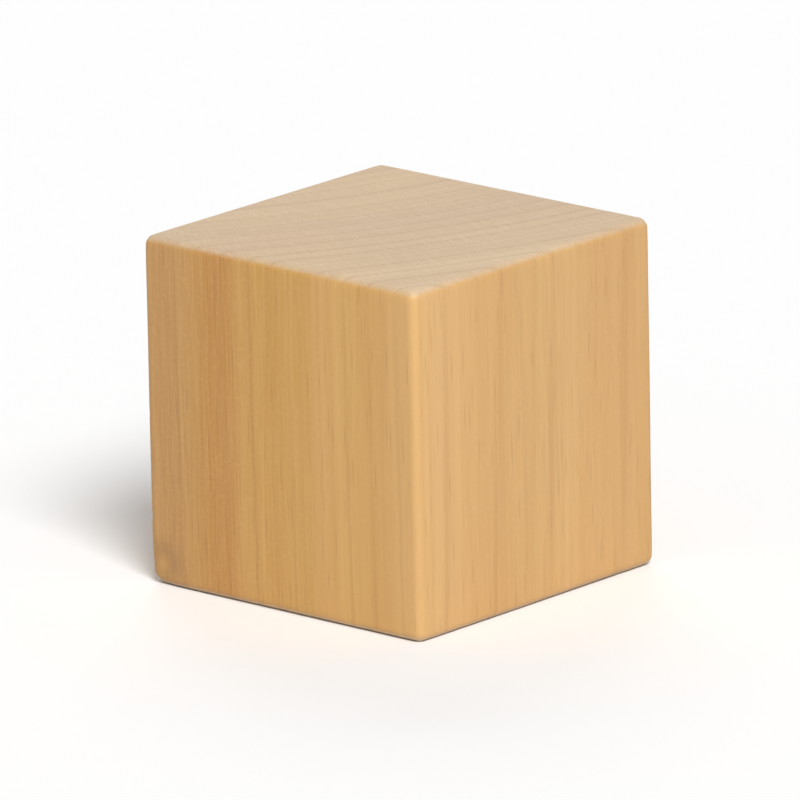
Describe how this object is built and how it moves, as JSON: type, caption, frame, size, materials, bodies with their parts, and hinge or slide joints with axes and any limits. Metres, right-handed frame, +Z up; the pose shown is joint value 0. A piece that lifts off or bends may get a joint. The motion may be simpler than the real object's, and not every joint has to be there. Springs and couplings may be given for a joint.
{
  "type": "wooden cube",
  "caption": "Small solid hardwood cube with sanded round edges, for building, sorting, spacing and craft work.",
  "frame": {"origin": "middle of the bottom face, which is the face that the cube rests on", "axes": "+Z up and along the grain of the wood; -Y out of the front face; +X out of the right face"},
  "size_m": [0.025, 0.025, 0.025],
  "materials": {
    "sanded_hardwood": "sanded bare, no varnish or paint"
  },
  "bodies": {
    "root": {"wooden_cube": "sanded_hardwood"}
  },
  "joints": []
}
